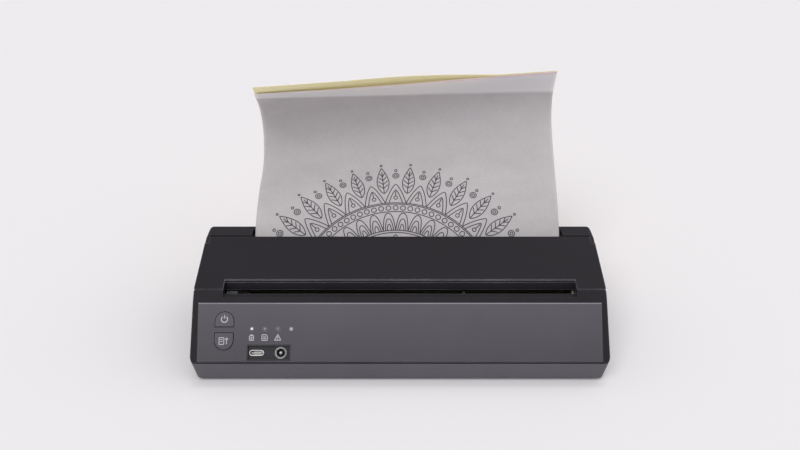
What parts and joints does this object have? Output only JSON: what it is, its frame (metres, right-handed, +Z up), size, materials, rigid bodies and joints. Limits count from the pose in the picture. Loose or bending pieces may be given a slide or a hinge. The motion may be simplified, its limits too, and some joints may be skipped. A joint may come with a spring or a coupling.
{
  "type": "thermal stencil copier",
  "caption": "Desktop copier that feeds an original in at the front and puts out a printed transfer sheet through a slot behind its hinged top cover.",
  "frame": {"origin": "on the table, under the middle of the whole object with its sheet", "axes": "+X to the right along the roller, +Y to the rear, +Z up"},
  "size_m": [0.265, 0.1608, 0.1487],
  "materials": {
    "case_plastic": "dark grey, fine-textured ABS",
    "panel_plastic": "mid-grey, satin ABS",
    "key_plastic": "black key caps",
    "foot_rubber": "black rubber",
    "steel": "plated steel",
    "bearing_plastic": "white acetal",
    "pinion_brass": "brass",
    "light_guide": "clear acrylic",
    "circuit_board": "green solder mask",
    "component_black": "moulded components",
    "flex_film": "amber film",
    "head_ceramic": "glazed alumina",
    "sink_aluminium": "extruded aluminium",
    "cell_wrap": "shrink-wrapped cells",
    "white_paper": "thin white transfer sheet",
    "yellow_paper": "thin yellow backing sheet"
  },
  "bodies": {
    "case": {"lower_case": "case_plastic", "upper_frame": "case_plastic", "front_panel": "panel_plastic", "case_screws": "steel", "rubber_feet": "foot_rubber", "light_pipes": "light_guide", "control_board": "circuit_board", "board_screws": "steel", "tact_switches": "component_black", "status_leds": "component_black", "port_bezel": "key_plastic", "usb_port": "steel", "usb_tongue": "component_black", "power_jack": "component_black", "chassis_plate_left": "steel", "chassis_plate_right": "steel", "chassis_tray": "steel", "platen_bushes": "bearing_plastic", "idler_pin": "steel", "motor_body": "steel", "motor_screws": "steel", "head_pivot_pins": "steel", "spring_bar": "steel", "head_springs": "steel", "hinge_pins": "steel", "exit_guide": "case_plastic", "feed_table": "case_plastic", "paper_sensor": "key_plastic", "battery_cells": "cell_wrap", "battery_holder": "key_plastic", "main_board": "circuit_board", "board_chips": "component_black", "head_flex": "flex_film"},
    "cover": {"top_cover": "case_plastic"},
    "platen": {"platen_shaft": "steel", "platen_rubber": "foot_rubber", "platen_gear": "bearing_plastic", "shaft_clips": "steel"},
    "idler": {"idler_gear": "bearing_plastic"},
    "rotor": {"motor_shaft": "steel", "motor_pinion": "pinion_brass"},
    "head": {"print_head": "head_ceramic", "heat_sink": "sink_aluminium"},
    "power_key": {"power_button": "key_plastic"},
    "feed_key": {"feed_button": "key_plastic"},
    "reset_key": {"reset_button": "key_plastic"},
    "guide": {"paper_guide": "key_plastic"},
    "flag": {"sensor_flag": "key_plastic"},
    "sheet": {"stencil_sheet": "white_paper", "backing_sheet": "yellow_paper"}
  },
  "joints": [
    {"name": "cover_hinge", "type": "hinge", "parent": "case", "child": "cover", "pos_m": [0, -0.00087, 0.05509], "axis": [-1, 0, 0], "range_deg": [0, 100]},
    {"name": "platen_spin", "type": "hinge", "parent": "case", "child": "platen", "pos_m": [0, -0.02402, 0.0402], "axis": [1, 0, 0], "continuous": true},
    {"name": "idler_spin", "type": "hinge", "parent": "case", "child": "idler", "pos_m": [0.1159, -0.03251, 0.02365], "axis": [1, 0, 0], "continuous": true},
    {"name": "rotor_spin", "type": "hinge", "parent": "case", "child": "rotor", "pos_m": [0.1159, -0.04742, 0.022], "axis": [1, 0, 0], "continuous": true},
    {"name": "head_pivot", "type": "hinge", "parent": "case", "child": "head", "pos_m": [0, -0.00599, 0.03992], "axis": [1, 0, 0], "range_deg": [0, 3], "stiffness_Nm_per_rad": 1, "springref_deg": -11.46},
    {"name": "power_press", "type": "slide", "parent": "case", "child": "power_key", "axis": [0, 0.7071, -0.7071], "range_m": [0, 0.0008], "stiffness_N_per_m": 400, "springref_m": -0.001},
    {"name": "feed_press", "type": "slide", "parent": "case", "child": "feed_key", "axis": [0, 0.7071, -0.7071], "range_m": [0, 0.0008], "stiffness_N_per_m": 400, "springref_m": -0.001},
    {"name": "reset_press", "type": "slide", "parent": "case", "child": "reset_key", "axis": [0, 0.7071, -0.7071], "range_m": [0, 0.0008], "stiffness_N_per_m": 400, "springref_m": -0.001},
    {"name": "guide_slide", "type": "slide", "parent": "case", "child": "guide", "axis": [1, 0, 0], "range_m": [0, 0.01]},
    {"name": "flag_tilt", "type": "hinge", "parent": "case", "child": "flag", "pos_m": [0.042, -0.04205, 0.03106], "axis": [-1, 0, 0], "range_deg": [0, 25], "stiffness_Nm_per_rad": 0.0005, "springref_deg": -28.65},
    {"name": "sheet_feed", "type": "slide", "parent": "case", "child": "sheet", "axis": [0, 0.7314, 0.682], "range_m": [0, 0.03]}
  ],
  "couplings": [
    {"joint": "idler_spin", "follows": "platen_spin", "ratio": -0.63158},
    {"joint": "rotor_spin", "follows": "platen_spin", "ratio": 2}
  ]
}
